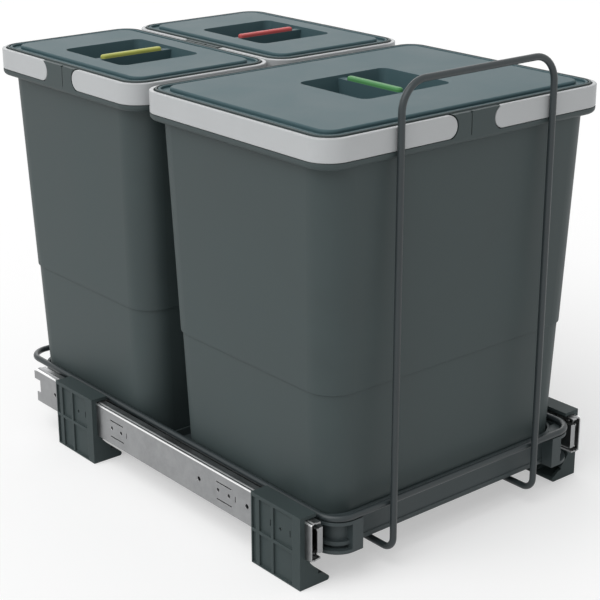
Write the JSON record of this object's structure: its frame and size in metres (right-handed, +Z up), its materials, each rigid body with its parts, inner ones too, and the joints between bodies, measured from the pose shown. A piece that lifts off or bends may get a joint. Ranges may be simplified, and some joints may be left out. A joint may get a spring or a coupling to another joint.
{
  "type": "pull-out waste bin unit",
  "caption": "Pull-out waste sorting unit for a kitchen base cabinet: lidded bins on a sliding tray with a wire ring and a wire pull.",
  "frame": {"origin": "bottom centre of the unit's box, on the cabinet floor under the brackets", "axes": "+Z up, the wire pull faces -Y and the unit pulls out along -Y, +X to the right seen from the front"},
  "size_m": [0.3562, 0.52, 0.4396],
  "materials": {
    "bracket_plastic": "moulded, satin",
    "bumper_plastic": "moulded",
    "runner_steel": "zinc plated",
    "screw_steel": "plated",
    "cage_steel": "plain",
    "ball_steel": "polished",
    "wire_paint": "epoxy coated, satin",
    "tray_plastic": "moulded, satin",
    "bin_plastic": "moulded, fine grain",
    "lid_plastic": "moulded, satin",
    "handle_plastic": "moulded, satin",
    "strip_green": "moulded",
    "strip_yellow": "moulded",
    "strip_red": "moulded"
  },
  "bodies": {
    "cabinet_side": {"bracket_front_left": "bracket_plastic", "bracket_rear_left": "bracket_plastic", "bracket_screws_left": "screw_steel", "runner_outer_left": "runner_steel", "bracket_front_right": "bracket_plastic", "bracket_rear_right": "bracket_plastic", "bracket_screws_right": "screw_steel", "runner_outer_right": "runner_steel"},
    "carriage": {"base_tray": "tray_plastic", "tray_corner_left": "tray_plastic", "tray_corner_right": "tray_plastic", "tray_screws": "screw_steel", "wire_ring": "wire_paint", "wire_hoop": "wire_paint", "hoop_clips": "tray_plastic", "runner_inner_left": "runner_steel", "runner_inner_right": "runner_steel"},
    "middle_member_left": {"runner_middle_left": "runner_steel", "runner_bumper_left": "bumper_plastic"},
    "outer_cage_left": {"cage_outer_left": "cage_steel", "balls_outer_left": "ball_steel"},
    "inner_cage_left": {"cage_inner_left": "cage_steel", "balls_inner_left": "ball_steel"},
    "middle_member_right": {"runner_middle_right": "runner_steel", "runner_bumper_right": "bumper_plastic"},
    "outer_cage_right": {"cage_outer_right": "cage_steel", "balls_outer_right": "ball_steel"},
    "inner_cage_right": {"cage_inner_right": "cage_steel", "balls_inner_right": "ball_steel"},
    "bin_front": {"bin_front": "bin_plastic"},
    "lid_front": {"lid_front": "lid_plastic", "lid_strip_front": "strip_green"},
    "handle_front_left": {"handle_front_left": "handle_plastic"},
    "handle_front_right": {"handle_front_right": "handle_plastic"},
    "bin_rear_left": {"bin_rear_left": "bin_plastic"},
    "lid_rear_left": {"lid_rear_left": "lid_plastic", "lid_strip_rear_left": "strip_yellow"},
    "handle_rear_left_front": {"handle_rear_left_front": "handle_plastic"},
    "handle_rear_left_rear": {"handle_rear_left_rear": "handle_plastic"},
    "bin_rear_right": {"bin_rear_right": "bin_plastic"},
    "lid_rear_right": {"lid_rear_right": "lid_plastic", "lid_strip_rear_right": "strip_red"},
    "handle_rear_right_front": {"handle_rear_right_front": "handle_plastic"},
    "handle_rear_right_rear": {"handle_rear_right_rear": "handle_plastic"}
  },
  "joints": [
    {"name": "carriage_slide", "type": "slide", "parent": "cabinet_side", "child": "carriage", "axis": [0, -1, 0], "range_m": [0, 0.45]},
    {"name": "middle_member_left_slide", "type": "slide", "parent": "cabinet_side", "child": "middle_member_left", "axis": [0, -1, 0], "range_m": [0, 0.225]},
    {"name": "outer_cage_left_slide", "type": "slide", "parent": "cabinet_side", "child": "outer_cage_left", "axis": [0, -1, 0], "range_m": [0, 0.1125]},
    {"name": "inner_cage_left_slide", "type": "slide", "parent": "cabinet_side", "child": "inner_cage_left", "axis": [0, -1, 0], "range_m": [0, 0.3375]},
    {"name": "middle_member_right_slide", "type": "slide", "parent": "cabinet_side", "child": "middle_member_right", "axis": [0, -1, 0], "range_m": [0, 0.225]},
    {"name": "outer_cage_right_slide", "type": "slide", "parent": "cabinet_side", "child": "outer_cage_right", "axis": [0, -1, 0], "range_m": [0, 0.1125]},
    {"name": "inner_cage_right_slide", "type": "slide", "parent": "cabinet_side", "child": "inner_cage_right", "axis": [0, -1, 0], "range_m": [0, 0.3375]},
    {"name": "bin_front_lift", "type": "slide", "parent": "carriage", "child": "bin_front", "axis": [0, 0, 1], "range_m": [0, 0.45]},
    {"name": "lid_front_lift", "type": "slide", "parent": "bin_front", "child": "lid_front", "axis": [0, 0, 1], "range_m": [0, 0.024]},
    {"name": "handle_front_left_swing", "type": "hinge", "parent": "bin_front", "child": "handle_front_left", "pos_m": [-0.0325, -0.12605, 0.38955], "axis": [0, 1, 0], "range_deg": [0, 45]},
    {"name": "handle_front_right_swing", "type": "hinge", "parent": "bin_front", "child": "handle_front_right", "pos_m": [0.0325, -0.12605, 0.38955], "axis": [0, -1, 0], "range_deg": [0, 45]},
    {"name": "bin_rear_left_lift", "type": "slide", "parent": "carriage", "child": "bin_rear_left", "axis": [0, 0, 1], "range_m": [0, 0.45]},
    {"name": "lid_rear_left_lift", "type": "slide", "parent": "bin_rear_left", "child": "lid_rear_left", "axis": [0, 0, 1], "range_m": [0, 0.024]},
    {"name": "handle_rear_left_front_swing", "type": "hinge", "parent": "bin_rear_left", "child": "handle_rear_left_front", "pos_m": [-0.0843, 0.1035, 0.38955], "axis": [-1, 0, 0], "range_deg": [0, 45]},
    {"name": "handle_rear_left_rear_swing", "type": "hinge", "parent": "bin_rear_left", "child": "handle_rear_left_rear", "pos_m": [-0.0843, 0.1685, 0.38955], "axis": [1, 0, 0], "range_deg": [0, 45]},
    {"name": "bin_rear_right_lift", "type": "slide", "parent": "carriage", "child": "bin_rear_right", "axis": [0, 0, 1], "range_m": [0, 0.45]},
    {"name": "lid_rear_right_lift", "type": "slide", "parent": "bin_rear_right", "child": "lid_rear_right", "axis": [0, 0, 1], "range_m": [0, 0.024]},
    {"name": "handle_rear_right_front_swing", "type": "hinge", "parent": "bin_rear_right", "child": "handle_rear_right_front", "pos_m": [0.0843, 0.1035, 0.38955], "axis": [-1, 0, 0], "range_deg": [0, 45]},
    {"name": "handle_rear_right_rear_swing", "type": "hinge", "parent": "bin_rear_right", "child": "handle_rear_right_rear", "pos_m": [0.0843, 0.1685, 0.38955], "axis": [1, 0, 0], "range_deg": [0, 45]}
  ],
  "couplings": [
    {"joint": "middle_member_left_slide", "follows": "carriage_slide", "ratio": 0.5},
    {"joint": "outer_cage_left_slide", "follows": "carriage_slide", "ratio": 0.25},
    {"joint": "inner_cage_left_slide", "follows": "carriage_slide", "ratio": 0.75},
    {"joint": "middle_member_right_slide", "follows": "carriage_slide", "ratio": 0.5},
    {"joint": "outer_cage_right_slide", "follows": "carriage_slide", "ratio": 0.25},
    {"joint": "inner_cage_right_slide", "follows": "carriage_slide", "ratio": 0.75}
  ]
}
